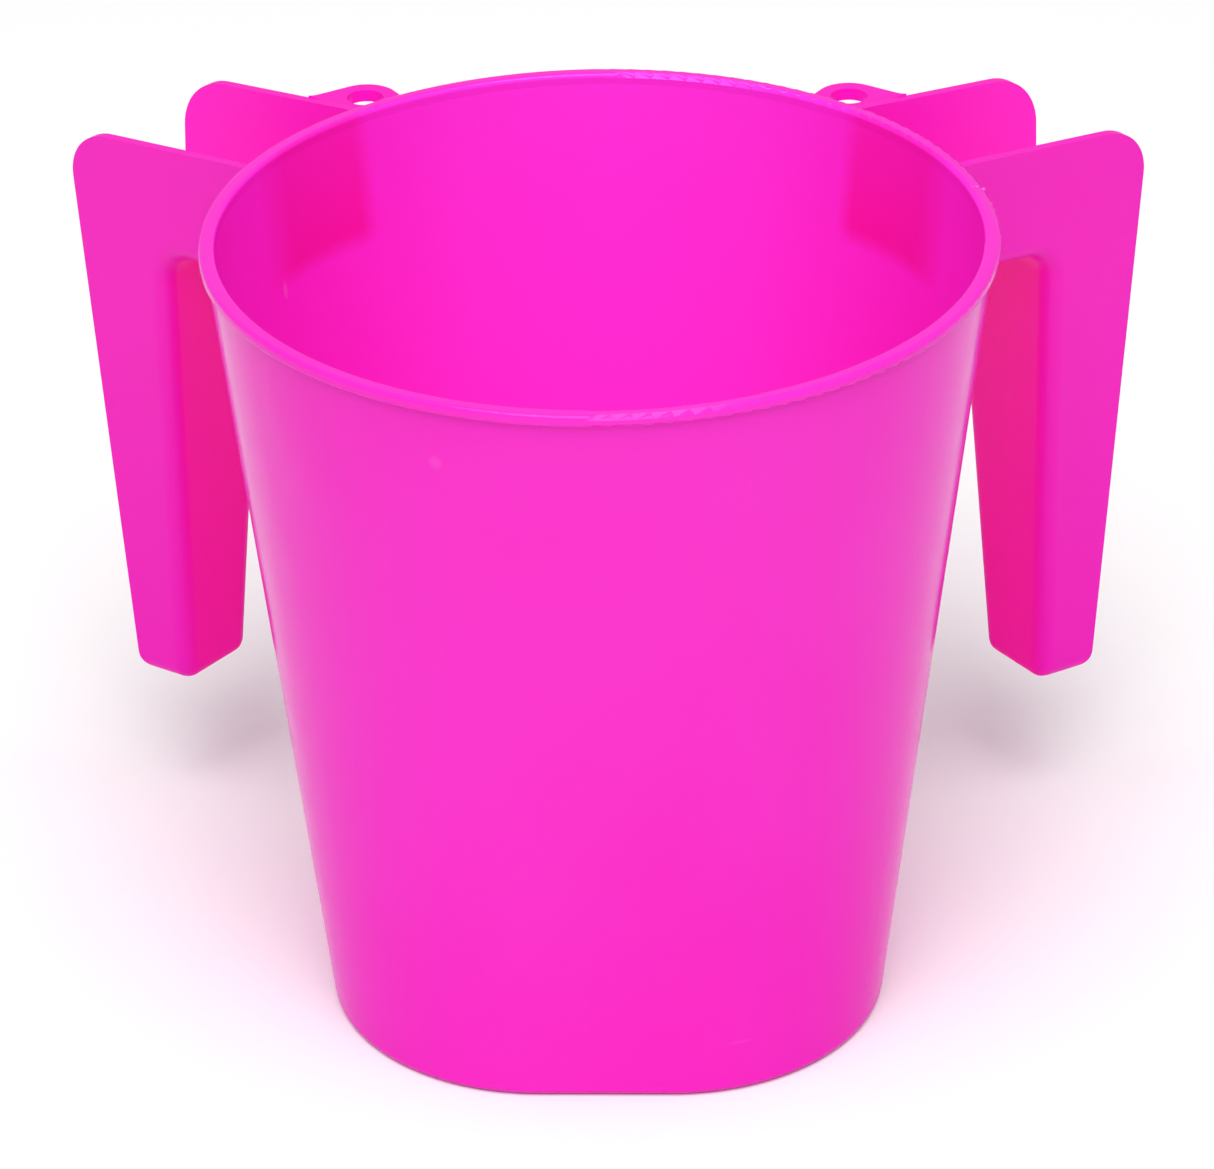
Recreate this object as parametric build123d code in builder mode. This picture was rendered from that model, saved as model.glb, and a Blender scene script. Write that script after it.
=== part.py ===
"""Two-handled one-piece plastic bucket: tapered wall, floor, rim lip, two channel handles, two eyelets.

The real object is a single injection moulding. Each named region of it is its own solid here,
and the solids meet face to face without overlapping.

Frame: +Z up, origin at the centre of the flat underside, -Y towards the flat front between the
handles. The handles stand out to -X (left) and +X (right) and are swept back towards +Y.
"""

from build123d import *
from math import cos, radians, sin
import os

# Bucket, in millimetres
HEIGHT = 143.0
RIM_RADIUS = 67.5
LIP_WIDTH = 2.8
LIP_HEIGHT = 2.0
LIP_TOP_ROUNDING = 0.8
LIP_LOWER_ROUNDING = 0.5
WALL_THICKNESS = 1.7
FLOOR_THICKNESS = 2.0
BASE_HALF_WIDTH = 49.3
BASE_CORNER_RADIUS = 37.5
BASE_EDGE_ROUNDING = 1.5
FLOOR_COVE_RADIUS = 3.5
FLOOR_SEAM_INSET = 8.0
ROUNDEST_FLAT = 0.05

# Handles: each is a U-shaped channel, open upwards and outwards
HANDLE_SWEEP = 36.6
HANDLE_OUTER_REACH = 107.4
LEG_FOOT_REACH = 105.4
OUTER_EDGE_SLANT = 2.8
PLATE_TOP_DROP = 0.9
PLATE_END_DROP = 4.8
ARM_UNDERSIDE_HEIGHT = 118.0
ARM_SLOPE = 0.08
GRIP_REACH_TOP = 87.6
GRIP_REACH_BOTTOM = 93.7
LEG_BOTTOM_HEIGHT = 24.9
FOOT_SLOPE = 0.08
CHANNEL_HALF_WIDTH = 15.9
CHANNEL_DRAFT = 0.0613
PLATE_THICKNESS = 1.8
TOP_CORNER_RADIUS = 10.0
FOOT_CORNER_RADIUS = 4.0
GRIP_CORNER_RADIUS = 5.5
FOOT_INNER_RADIUS = 2.5
GRIP_EDGE_ROUNDING = 3.2
INSIDE_EDGE_ROUNDING = 1.0
OPEN_END = 10.0

# Eyelets: flat lugs in the corner between each handle's rear plate and the rim
EYELET_RADIUS_FROM_AXIS = 72.7
EYELET_ANGLE = 53.5
EYELET_HOLE_RADIUS = 3.25
EYELET_LUG_RADIUS = 5.8
EYELET_THICKNESS = 2.2
EYELET_TOP = 141.3
EYELET_PLATE_REACH = 78.0
EYELET_WALL_ANGLE = 56.0
EYELET_BLEND_RADIUS = 3.0
CONTACT_SINK = 0.4

# Worked out from the dimensions above
WALL_TOP = HEIGHT - LIP_HEIGHT
LIP_INNER_RADIUS = RIM_RADIUS - LIP_WIDTH
WALL_TOP_RADIUS = LIP_INNER_RADIUS + WALL_THICKNESS
FLOOR_HALF_WIDTH = BASE_HALF_WIDTH - FLOOR_SEAM_INSET
FLOOR_CORNER_RADIUS = BASE_CORNER_RADIUS - FLOOR_SEAM_INSET

OUTWARD = Vector(cos(radians(HANDLE_SWEEP)), sin(radians(HANDLE_SWEEP)), 0)
REARWARD = Vector(-sin(radians(HANDLE_SWEEP)), cos(radians(HANDLE_SWEEP)), 0)
HANDLE_SIDE = Plane(origin=(0, 0, 0), x_dir=OUTWARD, z_dir=-REARWARD)
HANDLE_END = Plane(origin=(0, 0, 0), x_dir=REARWARD, z_dir=OUTWARD)
SLANTED_SIDE = Plane(
    origin=(0, 0, 0),
    x_dir=OUTWARD.rotate(Axis.Z, OUTER_EDGE_SLANT),
    z_dir=-REARWARD.rotate(Axis.Z, OUTER_EDGE_SLANT),
)


def wall_section(height, inset=0.0):
    """Horizontal section of the bucket: a rounded square at the base that becomes a circle at the rim."""
    share = height / WALL_TOP
    half_width = BASE_HALF_WIDTH + (WALL_TOP_RADIUS - BASE_HALF_WIDTH) * share - inset
    top_corner = WALL_TOP_RADIUS - ROUNDEST_FLAT
    corner = BASE_CORNER_RADIUS + (top_corner - BASE_CORNER_RADIUS) * share - inset
    RectangleRounded(2 * half_width, 2 * half_width, corner)


# The bucket's outer shape as a solid: the wall is hollowed from it and the handles end on it
with BuildPart() as bucket_shape:
    with BuildSketch(Plane.XY):
        wall_section(0)
    with BuildSketch(Plane.XY.offset(WALL_TOP)):
        wall_section(WALL_TOP)
    loft(ruled=True)

with BuildPart() as cavity:
    with BuildSketch(Plane.XY.offset(FLOOR_THICKNESS)):
        wall_section(FLOOR_THICKNESS, WALL_THICKNESS)
    with BuildSketch(Plane.XY.offset(WALL_TOP)):
        wall_section(WALL_TOP, WALL_THICKNESS)
    loft(ruled=True)
    fillet(cavity.edges().group_by(Axis.Z)[0], FLOOR_COVE_RADIUS)

with BuildPart() as base_floor:
    with BuildSketch(Plane.XY):
        RectangleRounded(2 * FLOOR_HALF_WIDTH, 2 * FLOOR_HALF_WIDTH, FLOOR_CORNER_RADIUS)
    extrude(amount=FLOOR_THICKNESS)

with BuildPart() as bucket_wall:
    add(bucket_shape.part)
    fillet(bucket_wall.edges().group_by(Axis.Z)[0], BASE_EDGE_ROUNDING)
    add(cavity.part, mode=Mode.SUBTRACT)
    add(base_floor.part, mode=Mode.SUBTRACT)

with BuildPart() as rim_lip:
    with BuildSketch(Plane.XZ):
        with Locations((LIP_INNER_RADIUS, WALL_TOP)):
            Rectangle(LIP_WIDTH, LIP_HEIGHT, align=(Align.MIN, Align.MIN))
    revolve(axis=Axis.Z)
    fillet(rim_lip.edges().group_by(Axis.Z)[-1], LIP_TOP_ROUNDING)
    fillet(rim_lip.edges().group_by(Axis.Z)[0].sort_by(SortBy.RADIUS)[-1], LIP_LOWER_ROUNDING)

# Everything the handles and eyelets must stay out of
with BuildPart() as bucket_envelope:
    add(bucket_shape.part)
    with Locations((0, 0, WALL_TOP)):
        Cylinder(WALL_TOP_RADIUS, LIP_HEIGHT, align=(Align.CENTER, Align.CENTER, Align.MIN))
    add(rim_lip.part)


def foot_height(reach):
    """Height of the leg's sloping underside at a distance from the bucket's axis."""
    return LEG_BOTTOM_HEIGHT - FOOT_SLOPE * (reach - GRIP_REACH_BOTTOM)


def arm_height(reach):
    """Height of the arm's underside, which drops a little from the bucket to the leg."""
    return ARM_UNDERSIDE_HEIGHT + ARM_SLOPE * (GRIP_REACH_TOP - reach)


def channel_block(inset, rounding):
    """Channel as a solid, left long at its open top and outer end; a smaller one hollows the larger."""
    top = HEIGHT + OPEN_END
    end = HANDLE_OUTER_REACH + OPEN_END
    top_half_width = CHANNEL_HALF_WIDTH + CHANNEL_DRAFT * OPEN_END - inset
    bottom_half_width = CHANNEL_HALF_WIDTH - CHANNEL_DRAFT * HEIGHT - inset
    with BuildPart() as block:
        with BuildSketch(HANDLE_SIDE):
            with BuildLine():
                FilletPolyline(
                    (0, top),
                    (0, arm_height(0) + inset),
                    (GRIP_REACH_TOP + inset, arm_height(GRIP_REACH_TOP + inset) + inset),
                    (GRIP_REACH_BOTTOM + inset, foot_height(GRIP_REACH_BOTTOM + inset) + inset),
                    (end, foot_height(end) + inset),
                    (end, top),
                    radius=(0, GRIP_CORNER_RADIUS + inset, FOOT_INNER_RADIUS - inset / 2, 0),
                )
                Line((end, top), (0, top))
            make_face()
        extrude(amount=2 * CHANNEL_HALF_WIDTH, both=True)
        with BuildSketch(HANDLE_END):
            with BuildLine():
                Polyline(
                    (-top_half_width, top),
                    (top_half_width, top),
                    (bottom_half_width, 0),
                    (-bottom_half_width, 0),
                    close=True,
                )
            make_face()
        extrude(amount=2 * HANDLE_OUTER_REACH, mode=Mode.INTERSECT)
        sides = block.faces().sort_by(Axis((0, 0, 0), REARWARD))
        side_edges = sides[0].edges() + sides[-1].edges()
        lower_edges = side_edges.filter_by(
            lambda edge: edge.center().Z < (ARM_UNDERSIDE_HEIGHT + HEIGHT) / 2
            and edge.center().dot(OUTWARD) < LEG_FOOT_REACH + inset
        )
        fillet(lower_edges, rounding)
    return block.part


channel_outside = channel_block(0, GRIP_EDGE_ROUNDING)
channel_inside = channel_block(PLATE_THICKNESS, INSIDE_EDGE_ROUNDING)

with BuildPart() as right_handle:
    with BuildSketch(SLANTED_SIDE):
        with BuildLine():
            FilletPolyline(
                (0, HEIGHT - PLATE_TOP_DROP),
                (RIM_RADIUS, HEIGHT - PLATE_TOP_DROP),
                (HANDLE_OUTER_REACH, HEIGHT - PLATE_END_DROP),
                (LEG_FOOT_REACH, foot_height(LEG_FOOT_REACH)),
                (0, foot_height(0)),
                radius=(0, TOP_CORNER_RADIUS, FOOT_CORNER_RADIUS),
            )
            Line((0, foot_height(0)), (0, HEIGHT - PLATE_TOP_DROP))
        make_face()
    extrude(amount=2 * CHANNEL_HALF_WIDTH, both=True)
    add(channel_outside, mode=Mode.INTERSECT)
    add(channel_inside, mode=Mode.SUBTRACT)
    add(bucket_envelope.part, mode=Mode.SUBTRACT)

# The plan outline of an eyelet is drawn with the wall and the rear plate, so that it flows into both
hole_centre = Vector(EYELET_RADIUS_FROM_AXIS, 0, 0).rotate(Axis.Z, EYELET_ANGLE)
plate_offset = CHANNEL_HALF_WIDTH - CHANNEL_DRAFT * (HEIGHT - EYELET_TOP + EYELET_THICKNESS) - CONTACT_SINK
wall_radius = WALL_TOP_RADIUS - CONTACT_SINK
flank_foot = OUTWARD * EYELET_PLATE_REACH + REARWARD * plate_offset
wall_foot = Vector(wall_radius, 0, 0).rotate(Axis.Z, EYELET_WALL_ANGLE)

with BuildSketch() as lug_plan:
    with Locations(hole_centre):
        Circle(EYELET_LUG_RADIUS)
    with BuildLine() as feet:
        Polyline(flank_foot, (0, 0), wall_foot)
    make_hull(lug_plan.edges() + feet.edges())

with BuildPart() as right_eyelet:
    with BuildSketch(Plane.XY.offset(EYELET_TOP - EYELET_THICKNESS)) as plan:
        Circle(wall_radius)
        with Locations(OUTWARD * EYELET_PLATE_REACH / 2 + REARWARD * plate_offset / 2):
            Rectangle(EYELET_PLATE_REACH + EYELET_LUG_RADIUS, plate_offset, rotation=HANDLE_SWEEP)
        add(lug_plan.sketch)
        fillet(plan.vertices().sort_by_distance(flank_foot)[0], EYELET_BLEND_RADIUS)
        fillet(plan.vertices().sort_by_distance(wall_foot)[0], EYELET_BLEND_RADIUS)
        with Locations(hole_centre):
            Circle(EYELET_HOLE_RADIUS, mode=Mode.SUBTRACT)
    extrude(amount=EYELET_THICKNESS)
    add(bucket_envelope.part, mode=Mode.SUBTRACT)
    add(channel_outside, mode=Mode.SUBTRACT)

with BuildPart() as left_handle:
    mirror(right_handle.part, about=Plane.YZ)

with BuildPart() as left_eyelet:
    mirror(right_eyelet.part, about=Plane.YZ)

os.makedirs("parts", exist_ok=True)
nodes = {
    "bucket_wall": bucket_wall,
    "base_floor": base_floor,
    "rim_lip": rim_lip,
    "left_handle": left_handle,
    "right_handle": right_handle,
    "left_eyelet": left_eyelet,
    "right_eyelet": right_eyelet,
}
for node_name, node in nodes.items():
    node.part.label = node_name
    export_step(node.part, f"parts/{node_name}.step")
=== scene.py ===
import math

import bmesh
import bpy
from mathutils import Matrix, Vector
from mathutils.bvhtree import BVHTree


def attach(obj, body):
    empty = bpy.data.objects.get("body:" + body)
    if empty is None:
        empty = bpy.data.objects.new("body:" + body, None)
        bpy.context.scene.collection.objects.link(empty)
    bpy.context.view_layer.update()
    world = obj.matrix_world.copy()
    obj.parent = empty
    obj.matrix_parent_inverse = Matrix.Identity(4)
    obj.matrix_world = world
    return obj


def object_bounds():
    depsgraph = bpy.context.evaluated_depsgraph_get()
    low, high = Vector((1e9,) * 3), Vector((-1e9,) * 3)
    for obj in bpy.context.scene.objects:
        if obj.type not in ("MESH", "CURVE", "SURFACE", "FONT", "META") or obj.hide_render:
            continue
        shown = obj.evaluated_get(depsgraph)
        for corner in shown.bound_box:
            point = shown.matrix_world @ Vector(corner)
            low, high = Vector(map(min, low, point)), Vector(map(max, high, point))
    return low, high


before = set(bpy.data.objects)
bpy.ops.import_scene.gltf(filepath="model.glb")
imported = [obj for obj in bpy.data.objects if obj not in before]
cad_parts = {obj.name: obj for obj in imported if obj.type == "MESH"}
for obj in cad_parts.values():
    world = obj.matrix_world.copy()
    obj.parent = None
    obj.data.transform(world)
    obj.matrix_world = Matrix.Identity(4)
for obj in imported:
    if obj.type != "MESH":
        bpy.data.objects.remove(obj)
cad_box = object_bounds()
scene = bpy.context.scene

BASE_LEVEL = cad_box[0][2]
RIM_LEVEL = cad_box[1][2]

X_AXIS = (1.0, 0.0, 0.0)
Y_AXIS = (0.0, 1.0, 0.0)
Z_AXIS = (0.0, 0.0, 1.0)
WHITE = (1.0, 1.0, 1.0, 1.0)

# Linear colours of the bucket: outside; inside, lighter by painted light; on the inside's left and
# right, darker by painted shade; and inside where a handle backs the wall, painted shade. Each "deep"
# colour is the other end of a faint cloudiness.
PINK = (0.84, 0.025, 0.53)
PINK_DEEP = (0.83, 0.017, 0.49)
PINK_INSIDE_PAINTED_LIGHT = (0.96, 0.037, 0.74)
PINK_BESIDE_PAINTED_SHADE = (1.0, 0.019, 0.66)
PINK_SHADED = (0.94, 0.009, 0.42)
PINK_PALE = (0.96, 0.22, 0.70)

# Colours of the handles. Part of the light comes through their thin plates. The rear plates' front faces
# get painted light, a lighter colour, and they and the webs' sides towards the bucket get a painted
# glow, a faint red emission, for light from behind.
PINK_CLEAR = (0.95, 0.018, 0.69)
PINK_CLEAR_DEEP = (0.94, 0.015, 0.66)
PINK_CLEAR_REAR_PAINTED_LIGHT = (1.0, 0.020, 0.99)
REAR_SHARE = 0.9
THROUGH = (1.0, 0.01, 0.42)
THROUGH_SHARE = 0.32
PAINTED_GLOW_COLOUR = (1.0, 0.0, 0.02)
PAINTED_GLOW_STRENGTH = 0.12

# Skin of the moulding; it is duller towards the base
PLASTIC_IOR = 1.49
ROUGHNESS = 0.18
HANDLE_ROUGHNESS = 0.36
ROUGHNESS_SPREAD = 0.03
SPECULAR = 0.14
LIP_SPECULAR = 0.18
HANDLE_SPECULAR = 0.14
DULL_SHARE = 0.3
SHINE_HEIGHT = 0.11
GRAIN_DEPTH = 0.00002
GRAIN_STRENGTH = 0.35

# Noise scales, in features per metre, the detail of each, and the range that noise mostly keeps to
CLOUD_SCALE = 14.0
SCUFF_SCALE = 160.0
GRAIN_SCALE = 900.0
BURR_SCALE = 2000.0
FLOOR_SCALE = 3.0
CLOUD_DETAIL = 2.0
SCUFF_DETAIL = 6.0
GRAIN_DETAIL = 4.0
NOISE_LOW = 0.35
NOISE_HIGH = 0.7

# A face looks inwards where its normal points against the radius by this much
INWARD = -0.5
INWARD_BLUR = 0.1
# A face looks fully forward, or not at all, at these values of its normal's Y
FORWARD_FULL = -0.5
FORWARD_NONE = 0.0
# The inside's sides begin and end at these distances from the middle plane
SIDE_START = 0.025
SIDE_END = 0.056

# Handles: each is swept back and narrows downwards by its draft; at the rim its web reaches this far
# to each side of the handle's own middle plane
HANDLE_SWEEP = math.radians(36.6)
SWEEP_SINE = math.sin(HANDLE_SWEEP)
SWEEP_COSINE = math.cos(HANDLE_SWEEP)
HANDLE_DRAFT = 0.0613
WEB_HALF_WIDTH = 0.0137
WEB_BLUR = 0.001

# Patches of the wall inside that are backed by the handles, by distance from that middle plane
PATCH_FRONT = -0.0118
PATCH_FRONT_BLUR = 0.0045
PATCH_REAR = 0.0124
PATCH_BOTTOM = 0.1198
PATCH_BLUR = 0.0018
PATCH_TOP_SHARE = 0.6

# Pale marks on the wall: centre, half-sizes and strength
MARKS = (
    ((-0.0249, -0.0605, 0.1312), (0.0013, 0.0013, 0.0013), 0.12),
    ((0.0236, -0.0485, 0.0109), (0.0032, 0.0012, 0.0004), 0.08),
    ((-0.0562, 0.0276, 0.1182), (0.0007, 0.0007, 0.0018), 0.25),
)
MARK_START = 0.5
MARK_END = 1.2

# Burrs on the right of the lip: degrees round the rim, distance from the axis, height, and half-sizes
# along the radius, along the rim and upwards
BURRS = (
    (14.6, 0.0661, 0.1430, 0.0009, 0.00018, 0.00014),
    (14.0, 0.0672, 0.1427, 0.0005, 0.00040, 0.00028),
    (9.5, 0.0674, 0.1424, 0.0002, 0.00022, 0.00024),
    (7.6, 0.0674, 0.1423, 0.00018, 0.00030, 0.00020),
    (5.2, 0.0674, 0.1423, 0.00015, 0.00025, 0.00025),
    (-1.0, 0.0674, 0.1422, 0.00016, 0.00045, 0.00020),
)
BURR_SUBDIVISIONS = 3

# Bevel of sharp edges; a vertex nearer than the gap to another node counts as touching it
EDGE_ROUNDING = 0.0008
EDGE_SEGMENTS = 3
EDGE_ANGLE = math.radians(40)
CONTACT_GAP = 0.0006

# Floor and backdrop; the camera sees the floor fade into the backdrop between these distances
FLOOR_SIZE = 30.0
FLOOR_DROP = 0.0002
FLOOR_ROUGHNESS = 0.6
FLOOR_GREY = (0.92, 0.92, 0.92)
FLOOR_PALE = (0.95, 0.95, 0.95)
FADE_START = 0.45
FADE_END = 1.4
BACKDROP = 1.0
AMBIENT = 0.46

SOFTBOX_PLACE = Vector((-0.02, -1.06, 2.29))
SOFTBOX_SIZE = 2.2
SOFTBOX_POWER = 68.0

CAMERA_AIM = Vector((0.0004, 0.0, 0.0743))
CAMERA_DISTANCE = 0.876
CAMERA_ELEVATION = math.radians(29.68)
CAMERA_AZIMUTH = math.radians(1.66)
CAMERA_ROLL = math.radians(-0.865)
CAMERA_SENSOR = 36.0
CAMERA_LENS = 148.3


# ---------------------------------------------------------------- node helpers

class Nodes:
    """Short calls for building one material's node tree."""

    def __init__(self, material):
        material.use_nodes = True
        self.tree = material.node_tree
        self.tree.nodes.clear()
        self.output = self.add("OutputMaterial")

    def add(self, kind, **values):
        """Adds a node; each value sets the property of that name, or else the input of that name."""
        node = self.tree.nodes.new("ShaderNode" + kind)
        for name, value in values.items():
            if name in node.bl_rna.properties:
                setattr(node, name, value)
            else:
                node.inputs[name.replace("_", " ")].default_value = value
        return node

    def link(self, source, target):
        self.tree.links.new(source, target)

    def noise(self, place, scale, detail):
        node = self.add("TexNoise", Scale=scale, Detail=detail)
        self.link(place, node.inputs["Vector"])
        return node.outputs["Fac"]

    def remap(self, value, low, high, from_low=0.0, from_high=1.0):
        """Straight-line change from low to high, held at each end."""
        node = self.add("MapRange", From_Min=from_low, From_Max=from_high, To_Min=low, To_Max=high)
        self.link(value, node.inputs["Value"])
        return node.outputs["Result"]

    def cloud(self, place, scale, detail, low=0.0, high=1.0):
        """Noise that fills the whole range from low to high."""
        return self.remap(self.noise(place, scale, detail), low, high, NOISE_LOW, NOISE_HIGH)

    def above(self, value, limit, blur):
        return self.remap(value, 0.0, 1.0, limit - blur, limit + blur)

    def below(self, value, limit, blur):
        return self.remap(value, 1.0, 0.0, limit - blur, limit + blur)

    def mix(self, share, first, second):
        """Mix of two colours, each either a tuple or a socket."""
        node = self.add("Mix", data_type="RGBA")
        self.link(share, node.inputs["Factor"])
        for socket, value in ((node.inputs[6], first), (node.inputs[7], second)):
            if isinstance(value, tuple):
                socket.default_value = (*value, 1.0)
            else:
                self.link(value, socket)
        return node.outputs[2]

    def vector_math(self, operation, first, second=None):
        """Vector operation on a socket and, where it needs one, a second socket or tuple."""
        node = self.add("VectorMath", operation=operation)
        self.link(first, node.inputs[0])
        if isinstance(second, tuple):
            node.inputs[1].default_value = second
        elif second:
            self.link(second, node.inputs[1])
        return node.outputs

    def vector(self, operation, first, second=None):
        return self.vector_math(operation, first, second)["Vector"]

    def length(self, vector):
        return self.vector_math("LENGTH", vector)["Value"]

    def dot(self, first, second):
        return self.vector_math("DOT_PRODUCT", first, second)["Value"]

    def math(self, operation, *values):
        node = self.add("Math", operation=operation)
        for value, socket in zip(values, node.inputs):
            self.link(value, socket)
        return node.outputs["Value"]

    def product(self, first, *rest):
        for value in rest:
            first = self.math("MULTIPLY", first, value)
        return first

    def combine(self, kind, first, second):
        """Mix or sum of two shaders, as a node."""
        node = self.add(kind)
        shaders = [socket for socket in node.inputs if socket.type == "SHADER"]
        self.link(first, shaders[0])
        self.link(second, shaders[1])
        return node


# ---------------------------------------------------------------- materials

def folded(n, place):
    """The place mirrored on to the +X side, so that one mask serves both handles."""
    parts = n.add("SeparateXYZ")
    n.link(place, parts.inputs[0])
    node = n.add("CombineXYZ")
    n.link(n.math("ABSOLUTE", parts.outputs["X"]), node.inputs["X"])
    n.link(parts.outputs["Y"], node.inputs["Y"])
    n.link(parts.outputs["Z"], node.inputs["Z"])
    return node.outputs["Vector"]


def inside_mask(n, place, normal):
    """1 on faces that look towards the bucket's axis and 0 on the rest."""
    outward = n.vector("NORMALIZE", n.vector("MULTIPLY", place, (1.0, 1.0, 0.0)))
    return n.below(n.dot(outward, normal), INWARD, INWARD_BLUR)


def handle_mask(n, place):
    """1 where the wall is backed by a handle's channel, which keeps the light from coming through it;
    the inside there gets painted shade.
    """
    across = n.dot(folded(n, place), (-SWEEP_SINE, SWEEP_COSINE, 0.0))
    height = n.dot(place, Z_AXIS)
    return n.product(
        n.above(across, PATCH_FRONT, PATCH_FRONT_BLUR),
        n.below(across, PATCH_REAR, PATCH_BLUR),
        n.above(height, PATCH_BOTTOM, PATCH_BLUR),
        n.remap(n.dot(place, Y_AXIS), 0.0, 1.0, 0.0, PATCH_BLUR),
        n.remap(height, 1.0, PATCH_TOP_SHARE, PATCH_BOTTOM, RIM_LEVEL),
    )


def plate_masks(n, place):
    """Two masks: 1 in a handle's rear plate, and 1 in its front plate."""
    limit = WEB_HALF_WIDTH - HANDLE_DRAFT * RIM_LEVEL
    mirrored = folded(n, place)
    rearward = n.dot(mirrored, (-SWEEP_SINE, SWEEP_COSINE, -HANDLE_DRAFT))
    frontward = n.dot(mirrored, (SWEEP_SINE, -SWEEP_COSINE, -HANDLE_DRAFT))
    return n.above(rearward, limit, WEB_BLUR), n.above(frontward, limit, WEB_BLUR)


def mark(n, place, colour, centre, half_sizes, strength):
    """Tints the colour in a small soft ellipsoid."""
    away = n.length(n.vector("DIVIDE", n.vector("SUBTRACT", place, centre), half_sizes))
    return n.mix(n.remap(away, strength, 0.0, MARK_START, MARK_END), colour, PINK_PALE)


def satin_surface(n, place, colour, specular, roughness=ROUGHNESS):
    """Satin skin of a moulding, with a faint grain and a gloss that varies a little."""
    surface = n.add("BsdfPrincipled", IOR=PLASTIC_IOR)
    n.link(colour, surface.inputs["Base Color"])
    shine = n.remap(n.dot(place, Z_AXIS), DULL_SHARE * specular, specular, 0.0, SHINE_HEIGHT)
    n.link(shine, surface.inputs["Specular IOR Level"])
    scuff = n.cloud(
        place, SCUFF_SCALE, SCUFF_DETAIL, roughness - ROUGHNESS_SPREAD, roughness + ROUGHNESS_SPREAD
    )
    n.link(scuff, surface.inputs["Roughness"])
    grain = n.add("Bump", Strength=GRAIN_STRENGTH, Distance=GRAIN_DEPTH)
    n.link(n.noise(place, GRAIN_SCALE, GRAIN_DETAIL), grain.inputs["Height"])
    n.link(grain.outputs["Normal"], surface.inputs["Normal"])
    return surface.outputs["BSDF"]


def bucket_plastic(name, specular):
    """The wall, lip and floor: lighter inside by painted light, where light comes through, with painted
    shade on the inside's sides and behind the handles.
    """
    material = bpy.data.materials.new(name)
    n = Nodes(material)
    spots = n.add("TexCoord").outputs
    place = spots["Object"]
    outer = n.mix(n.cloud(place, CLOUD_SCALE, CLOUD_DETAIL), PINK, PINK_DEEP)
    sides = n.remap(n.dot(folded(n, place), X_AXIS), 0.0, 1.0, SIDE_START, SIDE_END)
    # Painted light and shade inside: lighter in the middle, darker on the sides and behind the handles
    inner_painted_light_and_shade = n.mix(handle_mask(n, place), n.mix(sides, PINK_INSIDE_PAINTED_LIGHT, PINK_BESIDE_PAINTED_SHADE), PINK_SHADED)
    colour = n.mix(inside_mask(n, place, spots["Normal"]), outer, inner_painted_light_and_shade)
    for centre, half_sizes, strength in MARKS:
        colour = mark(n, place, colour, centre, half_sizes, strength)
    n.link(satin_surface(n, place, colour, specular), n.output.inputs["Surface"])
    return material


def handle_plastic():
    """The thin plates of the handles and eyelets, which let some light through, with painted light and a
    painted glow where they are lit from behind.
    """
    material = bpy.data.materials.new("handle_plastic")
    n = Nodes(material)
    spots = n.add("TexCoord").outputs
    place, normal = spots["Object"], spots["Normal"]
    rear, front = plate_masks(n, place)
    forward = n.remap(n.dot(normal, Y_AXIS), REAR_SHARE, 0.0, FORWARD_FULL, FORWARD_NONE)
    painted_light_rear_face = n.product(rear, forward)
    web = n.remap(n.math("MAXIMUM", rear, front), 1.0, 0.0)
    painted_glow_web_face = n.product(web, inside_mask(n, place, normal))
    clear = n.mix(n.cloud(place, CLOUD_SCALE, CLOUD_DETAIL), PINK_CLEAR, PINK_CLEAR_DEEP)
    # Painted light: the rear plates' front faces get a lighter colour
    colour = n.mix(painted_light_rear_face, clear, PINK_CLEAR_REAR_PAINTED_LIGHT)
    skin = satin_surface(n, place, colour, HANDLE_SPECULAR / (1 - THROUGH_SHARE), HANDLE_ROUGHNESS)
    through = n.add("BsdfTranslucent", Color=(*THROUGH, 1.0))
    blend = n.combine("MixShader", skin, through.outputs["BSDF"])
    blend.inputs["Fac"].default_value = THROUGH_SHARE
    # Painted glow: a faint red emission on the rear plates' front faces and the webs' sides towards the
    # bucket
    painted_glow = n.add("Emission", Color=(*PAINTED_GLOW_COLOUR, 1.0))
    painted_glow_level = n.remap(n.math("MAXIMUM", painted_light_rear_face, painted_glow_web_face), 0.0, PAINTED_GLOW_STRENGTH)
    n.link(painted_glow_level, painted_glow.inputs["Strength"])
    total = n.combine("AddShader", blend.outputs["Shader"], painted_glow.outputs["Emission"])
    n.link(total.outputs["Shader"], n.output.inputs["Surface"])
    return material


def burr_plastic():
    """Stress-whitened plastic of the burrs."""
    material = bpy.data.materials.new("burr_plastic")
    n = Nodes(material)
    place = n.add("TexCoord").outputs["Object"]
    colour = n.mix(n.cloud(place, BURR_SCALE, CLOUD_DETAIL), PINK, PINK_PALE)
    n.link(satin_surface(n, place, colour, LIP_SPECULAR), n.output.inputs["Surface"])
    return material


def floor_material():
    """Matt pale floor that fades into the backdrop with distance, as the camera sees it."""
    material = bpy.data.materials.new("pale_floor")
    n = Nodes(material)
    place = n.add("TexCoord").outputs["Object"]
    surface = n.add("BsdfPrincipled", Roughness=FLOOR_ROUGHNESS)
    colour = n.mix(n.noise(place, FLOOR_SCALE, CLOUD_DETAIL), FLOOR_GREY, FLOOR_PALE)
    n.link(colour, surface.inputs["Base Color"])
    backdrop = n.add("Emission", Color=WHITE, Strength=BACKDROP)
    blend = n.combine("MixShader", surface.outputs["BSDF"], backdrop.outputs["Emission"])
    far = n.remap(n.length(place), 0.0, 1.0, FADE_START, FADE_END)
    n.link(n.product(far, n.add("LightPath").outputs["Is Camera Ray"]), blend.inputs["Fac"])
    n.link(blend.outputs["Shader"], n.output.inputs["Surface"])
    return material


# ---------------------------------------------------------------- object

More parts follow.
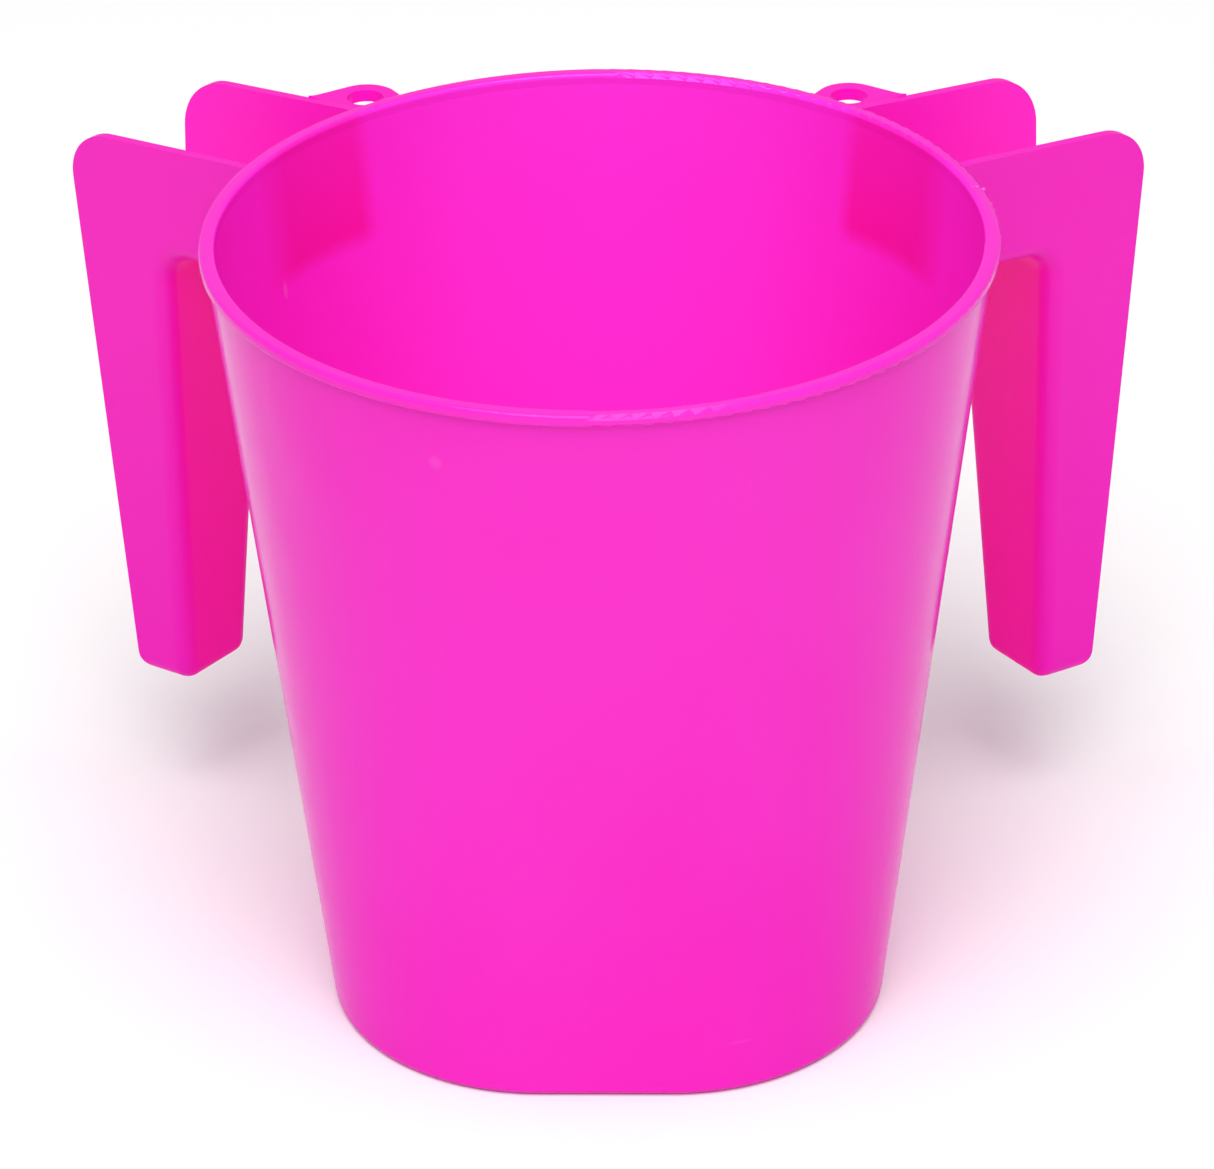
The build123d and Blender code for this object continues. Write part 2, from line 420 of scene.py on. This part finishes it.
def free_edge_weights(node, neighbours):
    """Weight 1 for each edge where two faces meet sharply, clear of the neighbours, and 0 for the rest.

    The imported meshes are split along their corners, so most corner edges have one face and stay at 0.
    The edges that get a weight are on the lip's right half, and a few on each handle.
    """
    mesh = bmesh.new()
    mesh.from_mesh(node.data)
    touching = {
        vertex for vertex in mesh.verts
        if any(tree.find_nearest(vertex.co, CONTACT_GAP)[0] for tree in neighbours)
    }
    weights = [
        float(edge.calc_face_angle(0.0) > EDGE_ANGLE and touching.isdisjoint(edge.verts))
        for edge in mesh.edges
    ]
    mesh.free()
    return weights


def dress_cad_nodes():
    """Gives every CAD node its plastic, and a bevel on the edges that have a weight."""
    for_bucket = bucket_plastic("bucket_plastic", SPECULAR)
    for_lip = bucket_plastic("lip_plastic", LIP_SPECULAR)
    for_handles = handle_plastic()
    skins = {"bucket_wall": for_bucket, "base_floor": for_bucket, "rim_lip": for_lip}
    depsgraph = bpy.context.evaluated_depsgraph_get()
    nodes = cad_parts
    trees = {name: BVHTree.FromObject(node, depsgraph) for name, node in nodes.items()}
    for name, node in nodes.items():
        node.data.materials.clear()
        node.data.materials.append(skins.get(name, for_handles))
        neighbours = [tree for other, tree in trees.items() if other != name]
        weights = node.data.attributes.new("bevel_weight_edge", "FLOAT", "EDGE")
        weights.data.foreach_set("value", free_edge_weights(node, neighbours))
        bevel = node.modifiers.new("edge_rounding", "BEVEL")
        bevel.width = EDGE_ROUNDING
        bevel.segments = EDGE_SEGMENTS
        bevel.limit_method = "WEIGHT"


def make_burrs():
    """Tiny torn burrs along the right of the lip, in one piece."""
    mesh = bmesh.new()
    for angle, reach, height, along, beside, up in BURRS:
        turn = Matrix.Rotation(math.radians(angle), 4, "Z")
        place = Matrix.Translation((reach, 0.0, height))
        size = Matrix.Diagonal((along, beside, up, 1.0))
        bmesh.ops.create_icosphere(
            mesh, subdivisions=BURR_SUBDIVISIONS, radius=1.0, matrix=turn @ place @ size
        )
    data = bpy.data.meshes.new("rim_burrs")
    mesh.to_mesh(data)
    mesh.free()
    data.materials.append(burr_plastic())
    for polygon in data.polygons:
        polygon.use_smooth = True
    burrs = bpy.data.objects.new("rim_burrs", data)
    scene.collection.objects.link(burrs)
    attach(burrs, "root")


# ---------------------------------------------------------------- studio

def make_camera():
    level = math.cos(CAMERA_ELEVATION)
    back = Vector((
        level * math.sin(CAMERA_AZIMUTH),
        -level * math.cos(CAMERA_AZIMUTH),
        math.sin(CAMERA_ELEVATION),
    ))
    camera = bpy.data.objects.new("camera", bpy.data.cameras.new("camera"))
    camera.data.lens = CAMERA_LENS
    camera.data.sensor_width = CAMERA_SENSOR
    turn = back.to_track_quat("Z", "Y").to_matrix().to_4x4() @ Matrix.Rotation(CAMERA_ROLL, 4, "Z")
    camera.matrix_world = Matrix.Translation(CAMERA_AIM + back * CAMERA_DISTANCE) @ turn
    scene.collection.objects.link(camera)
    scene.camera = camera


def make_floor():
    half = FLOOR_SIZE / 2
    corners = [(-half, -half, 0), (half, -half, 0), (half, half, 0), (-half, half, 0)]
    mesh = bpy.data.meshes.new("floor")
    mesh.from_pydata(corners, [], [(0, 1, 2, 3)])
    floor = bpy.data.objects.new("floor", mesh)
    floor.location.z = BASE_LEVEL - FLOOR_DROP
    floor.data.materials.append(floor_material())
    scene.collection.objects.link(floor)


def make_softbox():
    light = bpy.data.objects.new("key_softbox", bpy.data.lights.new("key_softbox", "AREA"))
    light.data.size = SOFTBOX_SIZE
    light.data.energy = SOFTBOX_POWER
    light.location = SOFTBOX_PLACE
    light.rotation_euler = (CAMERA_AIM - SOFTBOX_PLACE).to_track_quat("-Z", "Y").to_euler()
    scene.collection.objects.link(light)


def make_backdrop():
    """A white world, brighter as the camera sees it than as it lights the object."""
    world = bpy.data.worlds.new("studio")
    world.use_nodes = True
    tree = world.node_tree
    seen = tree.nodes.new("ShaderNodeLightPath")
    level = tree.nodes.new("ShaderNodeMapRange")
    level.inputs["To Min"].default_value = AMBIENT
    level.inputs["To Max"].default_value = BACKDROP
    background = tree.nodes["Background"]
    background.inputs["Color"].default_value = WHITE
    tree.links.new(seen.outputs["Is Camera Ray"], level.inputs["Value"])
    tree.links.new(level.outputs["Result"], background.inputs["Strength"])
    scene.world = world
    scene.view_settings.view_transform = "Standard"


dress_cad_nodes()
make_burrs()
make_floor()
make_camera()
make_softbox()
make_backdrop()
